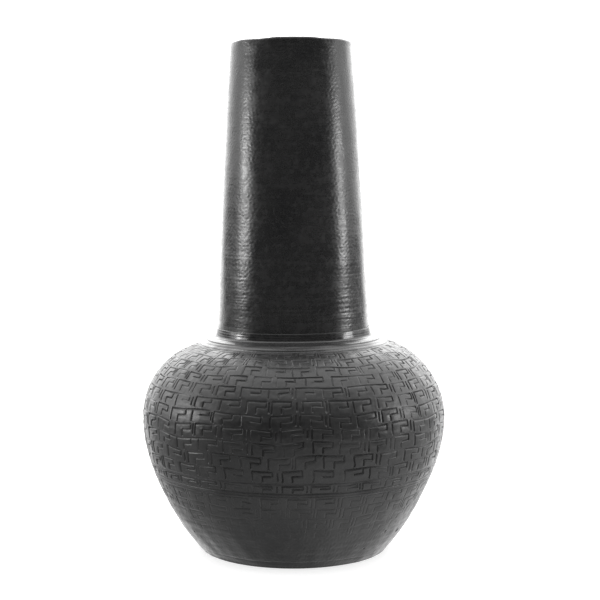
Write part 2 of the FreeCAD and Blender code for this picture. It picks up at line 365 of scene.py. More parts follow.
def inside_relief(phi, along):
    """Throwing ridges and finger marks on the unsmoothed inside."""
    ridges = 0.32 * uneven(phi, along, 9.0, seed=31, stretch=14.0, girth_radius=70.0)
    marks = 0.18 * uneven(phi, along, 24.0, seed=32, girth_radius=70.0)
    corner = smoothstep((along - INSIDE.low) / 6.0)
    seat = smoothstep((INSIDE.high - along) / 12.0)
    return (ridges + marks) * corner * seat


def neck_inside_relief(phi, along):
    ridges = 0.16 * uneven(phi, along, 8.0, seed=33, stretch=10.0, girth_radius=NECK_WAIST)
    low = smoothstep((along - COIL_ABOVE) / 10.0)
    high = smoothstep((NECK_HEIGHT - 4.0 - along) / 10.0)
    return ridges * low * high


# ---- a skin laid ring by ring ----

def even_columns(count):
    return np.linspace(0.0, 2 * math.pi, count, endpoint=False)


SEAM_RING = even_columns(SEAM_COLUMNS)
NECK_RING = even_columns(NECK_COLUMNS)
INSIDE_RING = even_columns(INSIDE_COLUMNS)


def lean(points):
    """The neck and its seat stand a little out of plumb."""
    weight = smoothstep((points[:, 2] - LEAN_START) / (SEAT_HEIGHT - GALLERY_DEPTH - LEAN_START))
    turn = np.radians(NECK_LEAN) * weight
    rise = points[:, 2] - SEAT_HEIGHT
    leaned = points.copy()
    leaned[:, 0] = points[:, 0] * np.cos(turn) - rise * np.sin(turn)
    leaned[:, 2] = SEAT_HEIGHT + points[:, 0] * np.sin(turn) + rise * np.cos(turn)
    return leaned


def zipped(lower_angles, upper_angles):
    """Triangles between two rings whose points stand at different angles."""
    start = lower_angles[0]
    full = 2 * math.pi
    lower = (lower_angles - start) % full
    upper = (upper_angles - start) % full
    first = int(np.argmin(upper))
    upper = np.roll(upper, -first)
    steps = np.concatenate((lower[1:], [full], upper[1:], [upper[0] + full]))
    order = np.argsort(steps, kind="stable")
    on_lower = order < len(lower)
    i = np.cumsum(on_lower) - on_lower
    j = np.cumsum(~on_lower) - ~on_lower
    ahead_i = (i + 1) % len(lower)
    ahead_j = (j + 1 + first) % len(upper)
    i = i % len(lower)
    j = (j + first) % len(upper)
    return i, np.where(on_lower, ahead_i, -1), np.where(on_lower, -1, ahead_j), j


def on_wall(line, relief, place, columns, side=1, up=0.0):
    """The wall's surface near a place: a function of small steps round and up it, in mm."""
    girth_radius = line.at(place)[0]

    def spot(across, rise):
        angles = columns + across / girth_radius
        radius, height, out, climb = line.at(place + rise)
        lift = relief(angles, place + rise) * side
        return angles, radius + lift * out, up + height + lift * climb

    return spot


def in_space(angles, radius, height):
    radius = np.broadcast_to(radius, angles.shape)
    height = np.broadcast_to(height, angles.shape)
    return lean(np.column_stack((radius * np.cos(angles), radius * np.sin(angles), height)))


class Shell:
    """A closed clay member: rings up the outside, across a seam, down the inside and back."""

    def __init__(self, name):
        self.name = name
        self.rings = []
        self.points = []
        self.normals = []
        self.press = []
        self.faces = []
        self.finishes = []
        self.joints = []
        self.sharp_rings = []
        self.count = 0

    def ring(self, columns, spot, finish=BURNISHED, press=0.0, sharp=False, side=1, joint=False):
        """Adds a ring and the strip of faces that joins it to the one before.

        spot gives the surface near the ring, so that its true slope can be taken. joint marks a
        strip that is flat, as the faces of a seam are.
        """
        angles = spot(0.0, 0.0)[0]
        here = in_space(*spot(0.0, 0.0))
        beside = in_space(*spot(NUDGE, 0.0)) - here
        above = in_space(*spot(0.0, NUDGE)) - here
        normals = np.cross(beside, above) * side
        lengths = np.linalg.norm(normals, axis=1, keepdims=True)
        self.points.append(here)
        self.normals.append(normals / np.maximum(lengths, 1e-12))
        self.press.append(np.broadcast_to(press, angles.shape).astype(np.float32))
        self.rings.append((self.count, columns, angles))
        if sharp:
            self.sharp_rings.append(len(self.rings) - 1)
        self.count += len(angles)
        if len(self.rings) > 1:
            self.strip(self.rings[-2], self.rings[-1], finish, joint)

    def flat_ring(self, columns, radius, height, finish=RAW, sharp=True, joint=True):
        """A ring with no relief, whose faces take their own flat or rounded shading."""
        self.ring(columns, lambda across, rise: (columns, radius, height), finish, sharp=sharp,
                  joint=joint)

    def strip(self, lower, upper, finish, joint=False):
        first_low, low_columns, low_angles = lower
        first_high, high_columns, high_angles = upper
        if low_columns is high_columns:
            here = np.arange(len(low_angles))
            ahead = np.roll(here, -1)
            faces = np.column_stack((first_low + here, first_low + ahead,
                                     first_high + ahead, first_high + here)).tolist()
        else:
            i, ahead_i, ahead_j, j = zipped(low_angles, high_angles)
            third = np.where(ahead_i >= 0, first_low + ahead_i, first_high + ahead_j)
            faces = np.column_stack((first_low + i, third, first_high + j)).tolist()
        self.faces += faces
        self.finishes += [finish] * len(faces)
        self.joints += [joint] * len(faces)

    def cap(self, height, finish, at_start):
        """Closes a disc with a fan of faces round its centre point."""
        centre = self.count
        self.points.append(np.array([(0.0, 0.0, height)]))
        self.normals.append(np.zeros((1, 3)))
        self.press.append(np.zeros(1, np.float32))
        first, _, angles = self.rings[0] if at_start else self.rings[-1]
        here = np.arange(len(angles))
        ahead = np.roll(here, -1)
        edges = (ahead, here) if at_start else (here, ahead)
        for start, end in zip(*edges):
            self.faces.append([first + int(start), first + int(end), centre])
            self.finishes.append(finish)
            self.joints.append(True)
        self.count += 1

    def lay(self, line, places, columns, relief, finish=BURNISHED, side=1, up=0.0, press=None):
        """Adds rings at distances along a section line. side -1 is the wall's inside."""
        for place in places:
            spot = on_wall(line, relief, place, columns, side, up)
            pressed = 0.0 if press is None else press(columns, place)
            self.ring(columns, spot, finish, pressed, side=side)

    def close(self, finish=RAW):
        self.strip(self.rings[-1], self.rings[0], finish, joint=True)

    def sharp_edges(self, mesh):
        ring_of = np.full(self.count, -1)
        for index, (first, _, angles) in enumerate(self.rings):
            ring_of[first:first + len(angles)] = index
        ends = np.zeros(len(mesh.edges) * 2, np.int32)
        mesh.edges.foreach_get("vertices", ends)
        ends = ring_of[ends.reshape(-1, 2)]
        sharp = (ends[:, 0] == ends[:, 1]) & np.isin(ends[:, 0], self.sharp_rings)
        edge = mesh.attributes.new("sharp_edge", "BOOLEAN", "EDGE")
        edge.data.foreach_set("value", sharp)

    def corner_normals(self, mesh):
        """The true slope at each corner of each face; a seam's faces keep Blender's own."""
        corners = np.zeros(len(mesh.loops), np.int32)
        mesh.loops.foreach_get("vertex_index", corners)
        sides = np.zeros(len(mesh.polygons), np.int32)
        mesh.polygons.foreach_get("loop_total", sides)
        normals = np.concatenate(self.normals)[corners]
        normals[np.repeat(np.array(self.joints), sides)] = 0.0
        return normals

    def build(self, node, materials):
        """Makes the piece, which stands for a node of the frame."""
        mesh = bpy.data.meshes.new(self.name)
        mesh.from_pydata(np.concatenate(self.points) * MM, [], self.faces)
        # press holds how deep each point is cut in, for duller gloss and painted shade
        press = mesh.attributes.new("press", "FLOAT", "POINT")
        press.data.foreach_set("value", np.concatenate(self.press))
        mesh.polygons.foreach_set("use_smooth", np.ones(len(mesh.polygons), bool))
        mesh.polygons.foreach_set("material_index", np.array(self.finishes, np.int32))
        self.sharp_edges(mesh)
        mesh.update()
        mesh.normals_split_custom_set(self.corner_normals(mesh))
        for material in materials:
            mesh.materials.append(material)
        piece = bpy.data.objects.new(self.name, mesh)
        bpy.context.scene.collection.objects.link(piece)
        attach(piece, "root")
        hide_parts(node)
        return piece


# ---- stamped rows ----

# Mesh lines across a pressed line, and to one side of the ring at the bowl's seam
GROOVE_OFFSETS = np.array((-GROOVE_EDGE, -GROOVE_SIDE, 0.0, GROOVE_SIDE, GROOVE_EDGE))
RING_LINES = np.array((0.4, 0.8))
RING_CLEAR = 0.9


def fret(left, width, height, draw):
    """The lines of one stamp: a tall leg, a bar, and a hook that turns back under it."""
    middle = left + width / 2
    lines = [(left, 0.0, left, height),
             (left, height, left + width, height),
             (left + width, height, left + width, height / 2),
             (left + width, height / 2, middle, height / 2)]
    if draw.random() < HOOKED_SHARE:
        lines.append((middle, height / 2, middle, 0.0))
    return lines


class FretRow:
    """One stamped row round the body, with mesh columns and lines that follow its grooves."""

    def __init__(self, low, high, strength, seed):
        draw = np.random.default_rng(seed)
        self.low, self.strength, self.seed = low, strength, seed
        self.radius = float(OUTSIDE.at((low + high) / 2)[0])
        self.girth = 2 * math.pi * self.radius
        self.height = high - low - 2 * GROOVE_EDGE - ROW_MARGIN
        width = FRET_WIDTH * (self.radius / EQUATOR_RADIUS) ** 0.75
        count = round(self.girth / (width * FRET_PITCH))
        pitches = 1.0 + 0.055 * draw.standard_normal(count)
        pitches *= self.girth / pitches.sum()
        widths = width * (1.0 + 0.04 * draw.standard_normal(count))
        widths = np.minimum(widths, pitches - LEAST_GAP)
        lefts = np.cumsum(pitches) - pitches + draw.uniform(0.0, self.girth)
        self.segments = []
        columns = []
        for left, span, pitch in zip(lefts, widths, pitches):
            middle, right = left + span / 2, left + span
            between = left + (span + pitch) / 2
            columns += [left + GROOVE_OFFSETS, [left + span / 4], middle + GROOVE_OFFSETS,
                        [left + span * 0.75], right + GROOVE_OFFSETS, between + GROOVE_OFFSETS]
            self.segments += fret(left, span, self.height, draw)
            if draw.random() < BAR_SHARE:
                top = self.height * draw.uniform(0.85, 1.0)
                self.segments.append((between, self.height * 0.08, between, top))
            elif draw.random() < RUN_ON_SHARE:
                self.segments.append((right, self.height, left + pitch, self.height))
        self.columns = np.concatenate(columns)
        self.lines = self.line_places()

    def line_places(self):
        """Where the mesh's lines run, up the row from the foot of its legs."""
        tall = self.height
        lower = [-GROOVE_EDGE, -GROOVE_SIDE, 0.0]
        if tall / 2 - GROOVE_EDGE > 1.2:
            lower.append((tall / 2 - GROOVE_EDGE) / 2)
        upper = [tall * 0.75] if tall / 2 > 2 * GROOVE_EDGE + 0.6 else []
        return [*lower, *(tall / 2 + GROOVE_OFFSETS), *upper, *(tall + GROOVE_OFFSETS)]

    def distance(self, columns, up):
        """Distance of each column's point from the nearest pressed line."""
        nearest = np.full(len(columns), 9.0)
        half = self.girth / 2
        for left, bottom, right, top in self.segments:
            across, tall = right - left, top - bottom
            x = (columns - left + half) % self.girth - half
            y = up - bottom
            share = np.clip((x * across + y * tall) / (across ** 2 + tall ** 2), 0.0, 1.0)
            nearest = np.minimum(nearest, np.hypot(x - share * across, y - share * tall))
        return nearest

    def firmness(self, phi, along):
        """How hard the stamps were pressed there."""
        uneven_hand = 0.86 + 0.27 * uneven(phi, along, 26.0, seed=41)
        return self.strength * np.clip(uneven_hand, 0.25, 1.2)

    def lay(self, shell):
        start = self.low + GROOVE_EDGE + ROW_MARGIN / 2
        for up in self.lines:
            spot = self.near(up, start)
            firm = self.firmness(self.columns / self.radius, start + up)
            # press dulls the gloss and paints shade into the line's floor
            press = firm * groove(self.distance(self.columns, up))
            shell.ring(self.columns, spot, press=press)

    def near(self, line, start):
        """The stamped surface near one of the row's lines."""
        first, last = self.lines[0], self.lines[-1]

        def spot(across, rise):
            columns = self.columns + across
            up = line + rise
            phi = columns / self.radius
            inner = smoothstep((up - first) / 2.4) * smoothstep((last - up) / 2.4)
            slant = 0.05 * uneven(phi, 0.0, 34.0, seed=self.seed + 1)
            shift = 0.16 * uneven(phi, up, 16.0, seed=self.seed + 2)
            shift = shift + slant * (up - self.height / 2)
            climb = 0.18 * inner * uneven(phi, 0.0, 15.0, seed=self.seed + 3)
            angles = phi + shift * inner / self.radius
            along = start + up + climb
            along = along + wander(angles, along)
            firm = self.firmness(phi, start + up)
            apart = self.distance(columns, up)
            radius, height, out, climb = OUTSIDE.at(along)
            lift = body_relief(angles, along) - GROOVE_DEPTH * firm * groove(apart)
            lift = lift + BURR * firm * burr(apart)
            return angles, radius + lift * out, height + lift * climb

        return spot


STEADY = (RING_PLACE, LOWER_RING, UPPER_RING, SHOULDER_PLACE, COVE_RING, FADE_PLACE)


def wander(phi, along):
    """The rows wave up and down a little, but not at a ring or a seam."""
    steady = np.ones(np.broadcast(phi, along).shape)
    for place in STEADY:
        steady = steady * smoothstep(np.abs(along - place) / 9.0)
    return 0.55 * steady * uneven(phi, along, 48.0, seed=51)


def places(start, end, step):
    """Evenly spaced places from start to end, both included."""
    count = max(2, int(abs(end - start) / step) + 2)
    return np.linspace(start, end, count)


def body_edge(shell, place, joint=False):
    """The outer corner of a seam, shared point for point by the two members."""
    spot = on_wall(OUTSIDE, body_relief, place, SEAM_RING)
    shell.ring(SEAM_RING, spot, press=ring_press(SEAM_RING, place), sharp=True, joint=joint)


def inner_edge(shell, line, place, relief, joint=False, up=0.0):
    """The inner corner of a seam."""
    spot = on_wall(line, relief, place, INSIDE_RING, side=-1, up=up)
    shell.ring(INSIDE_RING, spot, RAW, sharp=True, side=-1, joint=joint)


def plain_wall(shell, steps, finish=BURNISHED):
    """Rings of the body's outside that carry no frets."""
    shell.lay(OUTSIDE, steps, SEAM_RING, body_relief, finish, press=ring_press)


def stamp_rows(shell, start, end, firmness, seed):
    """Equal rows of frets from start to end, one for each firmness."""
    pitch = (end - start) / len(firmness)
    for index, strength in enumerate(firmness):
        low = start + index * pitch
        FretRow(low, low + pitch, strength, seed + 10 * index).lay(shell)


def down_inside(shell, high, low, line=INSIDE, relief=inside_relief, up=0.0, clear=SEAM_CLEAR):
    """From the seam at a member's top down its inside to the seam at its foot, and back."""
    inner_edge(shell, line, high, relief, joint=True, up=up)
    shell.lay(line, places(high - SEAM_CLEAR, low + clear, INSIDE_STEP), INSIDE_RING, relief, RAW,
              side=-1, up=up)
    inner_edge(shell, line, low, relief, up=up)
    shell.close()


def burnished_bowl(materials):
    shell = Shell("burnished_bowl")
    body_edge(shell, BASE_PLACE)
    plain_wall(shell, places(BASE_PLACE + 0.4, FADE_PLACE - 0.3, PLAIN_STEP))
    stamp_rows(shell, FADE_PLACE, RING_PLACE - RING_CLEAR, BOWL_FIRMNESS, seed=100)
    plain_wall(shell, RING_PLACE - RING_LINES[::-1])
    body_edge(shell, RING_PLACE)
    down_inside(shell, INSIDE_RING_PLACE, INSIDE.low, clear=1.0)
    return shell.build("lower_bowl", materials)


def stamped_belly(materials):
    shell = Shell("stamped_belly")
    body_edge(shell, RING_PLACE)
    plain_wall(shell, RING_PLACE + RING_LINES)
    plain_wall(shell, LOWER_RING + GROOVE_OFFSETS)
    stamp_rows(shell, LOWER_RING + GROOVE_EDGE, UPPER_RING - GROOVE_EDGE, RING_FIRMNESS, seed=200)
    plain_wall(shell, UPPER_RING + GROOVE_OFFSETS)
    stamp_rows(shell, UPPER_RING + GROOVE_EDGE, SHOULDER_PLACE - ROW_MARGIN, BELLY_FIRMNESS,
               seed=210)
    body_edge(shell, SHOULDER_PLACE)
    down_inside(shell, INSIDE_SHOULDER_PLACE, INSIDE_RING_PLACE)
    return shell.build("belly_course", materials)


def stamped_shoulder(materials):
    shell = Shell("stamped_shoulder")
    body_edge(shell, SHOULDER_PLACE)
    stamp_rows(shell, SHOULDER_PLACE + ROW_MARGIN, COVE_RING - GROOVE_EDGE - 0.2,
               SHOULDER_FIRMNESS, seed=300)
    plain_wall(shell, COVE_RING + GROOVE_OFFSETS)
    plain_wall(shell, places(COVE_RING + GROOVE_EDGE + 0.3, OUTSIDE.high - 0.4, 0.4), POLISHED)
    body_edge(shell, OUTSIDE.high)
    for height in (SEAT_HEIGHT, SEAT_HEIGHT - GALLERY_DEPTH):
        shell.flat_ring(INSIDE_RING, NECK_ROOT, height)
    down_inside(shell, INSIDE.high, INSIDE_SHOULDER_PLACE)
    return shell.build("shoulder_course", materials)


def disc_face(radius, level, depth, columns, seed, side):
    """A level face with turning ridges: a function of steps round it and up the section."""
    def spot(across, rise):
        angles = columns + across / radius
        reach = radius - rise * side
        ridge = depth * uneven(angles, reach, 5.0, seed=seed, stretch=12.0, girth_radius=30.0)
        return angles, reach, level + ridge

    return spot


def foot_base(materials):
    """The disc, with a turned recess below and finger ridges on its upper face."""
    shell = Shell("foot_base")
    foot_edge = float(OUTSIDE.at(OUTSIDE.low)[0])
    for radius in np.arange(4.0, RECESS_RADIUS - 1.0, 2.0):
        spot = disc_face(radius, RECESS_DEPTH, 0.10, SEAM_RING, 71, side=-1)
        shell.ring(SEAM_RING, spot, RAW)
    rim = RECESS_RADIUS + RECESS_DEPTH
    for radius, height in ((RECESS_RADIUS, RECESS_DEPTH), (RECESS_RADIUS + 0.6, 1.5),
                           (rim - 0.5, 0.25), (rim + 0.3, 0.0), (foot_edge - 6.0, 0.0),
                           (foot_edge - FOOT_ROUND - 1.0, 0.0)):
        shell.flat_ring(SEAM_RING, radius, height, BURNISHED, sharp=False)
    slope = angle_at(BOWL_CENTRE, BOWL_ARC, FOOT_ROUND)
    centre = (float(OUTSIDE.at(OUTSIDE.where(FOOT_ROUND))[0]) - FOOT_ROUND, FOOT_ROUND)
    for angle in np.linspace(-90.0, slope, 7):
        radius, height = polar(centre, FOOT_ROUND, angle)
        share = smoothstep((angle + 90.0) / (slope + 90.0))
        lift = body_relief(SEAM_RING, OUTSIDE.low) * share
        shell.flat_ring(SEAM_RING, radius + lift, height, BURNISHED, sharp=False)
    plain_wall(shell, places(OUTSIDE.where(FOOT_ROUND) + 0.7, BASE_PLACE - 0.4, 0.55))
    body_edge(shell, BASE_PLACE)
    inner_edge(shell, INSIDE, INSIDE.low, inside_relief, joint=True)
    for radius in np.arange(60.0, 3.0, -2.0):
        shell.ring(INSIDE_RING, disc_face(radius, FLOOR_HEIGHT, 0.28, INSIDE_RING, 72, side=1), RAW)
    shell.cap(FLOOR_HEIGHT, RAW, at_start=False)
    shell.cap(RECESS_DEPTH, RAW, at_start=True)
    return shell.build("base_disc", materials)


def coil(name, node, line, up, materials, squeeze, seed, girth_radius):
    """A rope of clay pressed into a corner, with the dents of the fingers that pressed it."""
    shell = Shell(name)
    corners = np.array(line)
    centre = corners.mean(axis=0)
    for corner in corners:
        off = corner - centre
        dents = 1.0 - squeeze * (0.5 + 0.5 * uneven(INSIDE_RING, 0.0, 15.0, seed=seed,
                                                    girth_radius=girth_radius))
        inward = 1.0 if off[0] > 0 else np.clip(dents, 0.55, 1.0)
        shell.flat_ring(INSIDE_RING, centre[0] + off[0] * inward,
                        up + centre[1] + off[1] * inward, sharp=False)
    shell.close()
    return shell.build(node, materials)


def foot_corner_coil(materials):
    foot = INSIDE.at(INSIDE.low)
    steps = [INSIDE.where(FLOOR_HEIGHT + rise) for rise in (0.0, 2.5, 5.0, 7.5)]
    wall = [tuple(float(part) for part in INSIDE.at(step)[:2]) for step in steps]
    inner = [(foot[0] + 1.2, FLOOR_HEIGHT + 5.8), (foot[0] - 2.0, FLOOR_HEIGHT + 3.2),
             (foot[0] - 5.0, FLOOR_HEIGHT + 1.2), (foot[0] - 8.0, FLOOR_HEIGHT + 0.1)]
    return coil("foot_corner_coil", "foot_coil", wall + inner, 0.0, materials,
                squeeze=0.16, seed=81, girth_radius=62.0)


def neck_joint_coil(materials):
    inner = NECK_BORE - COIL_THICK
    line = [(NECK_BORE, -COIL_BELOW), (NECK_BORE, 0.0), (NECK_BORE, COIL_ABOVE),
            (inner + 0.9, COIL_ABOVE - 1.8), (inner, COIL_ABOVE - 3.4), (inner, 0.0),
            (inner, 3.4 - COIL_BELOW), (inner + 0.9, 1.8 - COIL_BELOW)]
    return coil("neck_joint_coil", "neck_coil", line, SEAT_HEIGHT, materials,
                squeeze=0.10, seed=82, girth_radius=NECK_BORE)


def collar_relief(phi, along):
    """Small waves, and the fine lines of the tool that trimmed the band."""
    waves = 0.07 * uneven(phi, along, 12.0, seed=91, girth_radius=COLLAR_WAIST)
    lines = 0.012 * uneven(phi, along, 1.6, seed=92, stretch=60.0, girth_radius=COLLAR_WAIST)
    return (waves + lines) * smoothstep(along / 1.5)


# Corners of the collar's outline: radius, and height above the seat
COLLAR_SLOPE = (COLLAR_WAIST + 2.1, COLLAR_RISE - 2.95)
COLLAR_BAND = (COLLAR_WAIST - 0.1, COLLAR_RISE - 1.4)
COLLAR_BROW = (COLLAR_EDGE + 0.2, COLLAR_HEIGHT - 0.12)
COLLAR_TOP = (COLLAR_EDGE - 0.1, COLLAR_HEIGHT)
COLLAR_COVE = 2.4


def root_collar(materials):
    """The thin band that covers the joint, pinched out of the shoulder and trimmed."""
    shell = Shell("root_collar")
    profile = Outline(straight((COLLAR_FOOT, 0.0), COLLAR_SLOPE),
                      hollow(COLLAR_SLOPE, COLLAR_BAND, COLLAR_COVE),
                      straight(COLLAR_BAND, COLLAR_BROW, COLLAR_TOP))
    foot = on_wall(profile, collar_relief, profile.low, SEAM_RING, up=SEAT_HEIGHT)
    shell.ring(SEAM_RING, foot, sharp=True)
    shell.lay(profile, places(profile.low + DETAIL_STEP, profile.high, DETAIL_STEP), SEAM_RING,
              collar_relief, up=SEAT_HEIGHT)
    shell.flat_ring(INSIDE_RING, COLLAR_BORE, SEAT_HEIGHT + COLLAR_HEIGHT, BURNISHED)
    shell.flat_ring(INSIDE_RING, NECK_ROOT, SEAT_HEIGHT)
    shell.close()
    return shell.build("neck_collar", materials)


def hollow(start, end, radius):
    """Points on a side that curves in towards the clay, from a lower to an upper corner."""
    start, end = np.array(start), np.array(end)
    chord = end - start
    length = math.hypot(*chord)
    inward = np.array((-chord[1], chord[0])) / length
    reach = math.sqrt(radius ** 2 - (length / 2) ** 2)
    centre = (start + end) / 2 - inward * reach
    turns = [math.atan2(*(point - centre)[::-1]) for point in (start, end)]
    sweep = (turns[1] - turns[0] + math.pi) % (2 * math.pi) - math.pi
    angles = turns[0] + np.linspace(0.0, sweep, int(length / FINE))
    return np.column_stack((centre[0] + radius * np.cos(angles),
                            centre[1] + radius * np.sin(angles)))


def neck_edge(shell, place, relief=neck_relief):
    """The outer corner of one of the neck's seams."""
    spot = on_wall(NECK_OUTSIDE, relief, place, NECK_RING, up=SEAT_HEIGHT)
    shell.ring(NECK_RING, spot, sharp=True)


def neck_length(name, node, low, high, inner_low, inner_high, materials):
    """A length of the neck, from one bevelled seam to the next."""
    shell = Shell(name)
    neck_edge(shell, low)
    shell.lay(NECK_OUTSIDE, places(low + 0.4, high - 0.4, PLAIN_STEP), NECK_RING, neck_relief,
              up=SEAT_HEIGHT)
    neck_edge(shell, high)
    down_inside(shell, inner_high, inner_low, NECK_INSIDE, neck_inside_relief, SEAT_HEIGHT)
    return shell.build(node, materials)


def rounded_lip(materials):
    shell = Shell("rounded_lip")
    low = NECK_OUTSIDE.where(LIP_SEAM)
    inner_low = NECK_INSIDE.where(LIP_SEAM + LIP_BEVEL)
    neck_edge(shell, low, lip_relief)
    shell.lay(NECK_OUTSIDE, places(low + 0.4, NECK_OUTSIDE.high, DETAIL_STEP), NECK_RING,
              lip_relief, up=SEAT_HEIGHT)
    shell.lay(NECK_INSIDE, places(NECK_INSIDE.high, inner_low + 1.0, 0.4), NECK_RING,
              neck_inside_relief, side=-1, up=SEAT_HEIGHT)
    inner_edge(shell, NECK_INSIDE, inner_low, neck_inside_relief, up=SEAT_HEIGHT)
    shell.close()
    return shell.build("lip_coil", materials)


def lip_relief(phi, along):
    """The lip was wiped round with a wet leather, which left it a little uneven."""
    wiped = 0.12 * uneven(phi, 0.0, 30.0, seed=25, girth_radius=LIP_RADIUS)
    top = NECK_OUTSIDE.high - 6.0
    return neck_relief(phi, along) + wiped * smoothstep((along - top) / 4.0)


# ---- materials ----

class Nodes:
    """Short calls that add nodes to a node tree."""

    def __init__(self, tree):
        self.tree = tree

    def node(self, kind, **settings):
        made = self.tree.nodes.new(f"ShaderNode{kind}")
        for name, setting in settings.items():
            setattr(made, name, setting)
        return made

    def feed(self, socket, source):
        """Links a socket to another node's output, or sets it to a number."""
        if isinstance(source, bpy.types.NodeSocket):
            self.tree.links.new(source, socket)
        else:
            socket.default_value = source

    def place(self, stretch):
        """Where a point is on the vase, in metres, scaled along X, Y and Z."""
        coordinates = self.node("TexCoord")
        mapping = self.node("Mapping")
        self.feed(mapping.inputs["Vector"], coordinates.outputs["Object"])
        mapping.inputs["Scale"].default_value = stretch
        return mapping.outputs["Vector"]

    def noise(self, scale, stretch=(1, 1, 1), detail=2.0, roughness=0.5, distortion=0.0):
        made = self.node("TexNoise")
        self.feed(made.inputs["Vector"], self.place(stretch))
        made.inputs["Scale"].default_value = scale
        made.inputs["Detail"].default_value = detail
        made.inputs["Roughness"].default_value = roughness
        made.inputs["Distortion"].default_value = distortion
        return made.outputs["Fac"]

    def specks(self, scale, size):
        """Small scattered spots: 1 in the middle of a spot and 0 between them."""
        made = self.node("TexVoronoi")
        self.feed(made.inputs["Vector"], self.place((1, 1, 1)))
        made.inputs["Scale"].default_value = scale
        return self.span(made.outputs["Distance"], size, 0.0, 0.0, 1.0)

    def span(self, source, low, high, new_low, new_high):
        """Stretches one range of values to another, and holds it there."""
        made = self.node("MapRange")
        made.interpolation_type = "SMOOTHSTEP"
        self.feed(made.inputs["Value"], source)
        for name, number in (("From Min", low), ("From Max", high), ("To Min", new_low),
                             ("To Max", new_high)):
            made.inputs[name].default_value = number
        return made.outputs["Result"]

    def sums(self, operation, first, second):
        made = self.node("Math", operation=operation)
        self.feed(made.inputs[0], first)
        self.feed(made.inputs[1], second)
        return made.outputs["Value"]

    def weigh(self, share, first, second):
        """Goes from the first value to the second as share goes from 0 to 1."""
        made = self.node("Mix", data_type="FLOAT")
        self.feed(made.inputs[0], share)
        self.feed(made.inputs[2], first)
        self.feed(made.inputs[3], second)
        return made.outputs[0]

    def blend(self, share, first, second):
        made = self.node("Mix", data_type="RGBA")
        self.feed(made.inputs["Factor"], share)
        for socket, source in ((made.inputs[6], first), (made.inputs[7], second)):
            self.feed(socket, source)
        return made.outputs[2]

    def bump(self, height, depth, normal=None):
        """Raises the surface by up to depth millimetres where height is 1."""
        made = self.node("Bump")
        made.inputs["Strength"].default_value = 1.0
        made.inputs["Distance"].default_value = depth * MM
        self.feed(made.inputs["Height"], height)
        if normal is not None:
            self.feed(made.inputs["Normal"], normal)
        return made.outputs["Normal"]

    def press(self):
        made = self.node("Attribute", attribute_name="press")
        return made.outputs["Fac"]


class Shader(Nodes):
    """A material, with its surface shader at hand."""

    def __init__(self, name):
        self.material = bpy.data.materials.new(name)
        self.material.use_nodes = True
        super().__init__(self.material.node_tree)
        self.surface = self.tree.nodes["Principled BSDF"]


# Tones of the burnished clay, with painted shade for its pressed lines, rings, flaws and pits, and
# of the unrubbed clay
DARK_CLOUD = (0.0075, 0.0076, 0.0079, 1)
PALE_CLOUD = (0.0125, 0.0123, 0.0123, 1)
WORN = (0.022, 0.0215, 0.0215, 1)
# painted shade for the floors of pressed lines, turned rings, pinholes and the chip
PAINTED_GROOVE_SHADE = (0.0035, 0.0035, 0.0037, 1)
# painted shade inside the small pits
PAINTED_PIT_SHADE = (0.0025, 0.0025, 0.0025, 1)
SOOT = (0.018, 0.018, 0.0185, 1)
ASH = (0.036, 0.0355, 0.035, 1)
GRIT = (0.055, 0.054, 0.052, 1)


def burnished_clay(name, gloss, lines, peel):
    """Smoke-blackened clay rubbed with a stone: duller where it was pressed, and darkened there
    with painted shade in its lines, rings, flaws and small pits.

    gloss is its mean roughness; lines and peel are heights of its fine unevenness, in mm.
    """
    shader = Shader(name)
    press = shader.press()
    clouds = shader.noise(22.0, detail=3.0, roughness=0.55)
    mottle = shader.noise(260.0, detail=3.0, roughness=0.6)
    turning = shader.noise(1.0, stretch=(30.0, 30.0, 780.0), detail=2.0)
    grain = shader.noise(1900.0, detail=2.0)
    pits = shader.specks(95.0, 0.045)

    tone = shader.blend(shader.span(clouds, 0.3, 0.7, 0.0, 1.0), DARK_CLOUD, PALE_CLOUD)
    tone = shader.blend(shader.span(mottle, 0.52, 0.78, 0.0, 0.55), tone, WORN)
    # painted shade: darker where the press mask says a line, ring or flaw is cut in
    tone = shader.blend(shader.span(press, 0.4, 1.0, 0.0, 0.9), tone, PAINTED_GROOVE_SHADE)
    # painted shade: the small pits are darkened
    tone = shader.blend(pits, tone, PAINTED_PIT_SHADE)
    shader.feed(shader.surface.inputs["Base Color"], tone)

    rough = shader.span(clouds, 0.25, 0.75, gloss - 0.035, gloss + 0.035)
    rough = shader.sums("ADD", rough, shader.span(mottle, 0.3, 0.75, -0.03, 0.07))
    rough = shader.sums("ADD", rough, shader.span(turning, 0.3, 0.7, -0.02, 0.03))
    rough = shader.sums("ADD", rough, shader.span(press, 0.4, 1.0, 0.0, 0.25))
    shader.feed(shader.surface.inputs["Roughness"], rough)
    shader.surface.inputs["IOR"].default_value = 1.52

    normal = shader.bump(turning, lines)
    normal = shader.bump(mottle, peel, normal)
    normal = shader.bump(grain, 0.010, normal)
    holes = shader.sums("MULTIPLY", pits, -1.0)
    normal = shader.bump(holes, 0.12, normal)
    shader.feed(shader.surface.inputs["Normal"], normal)
    return shader.material


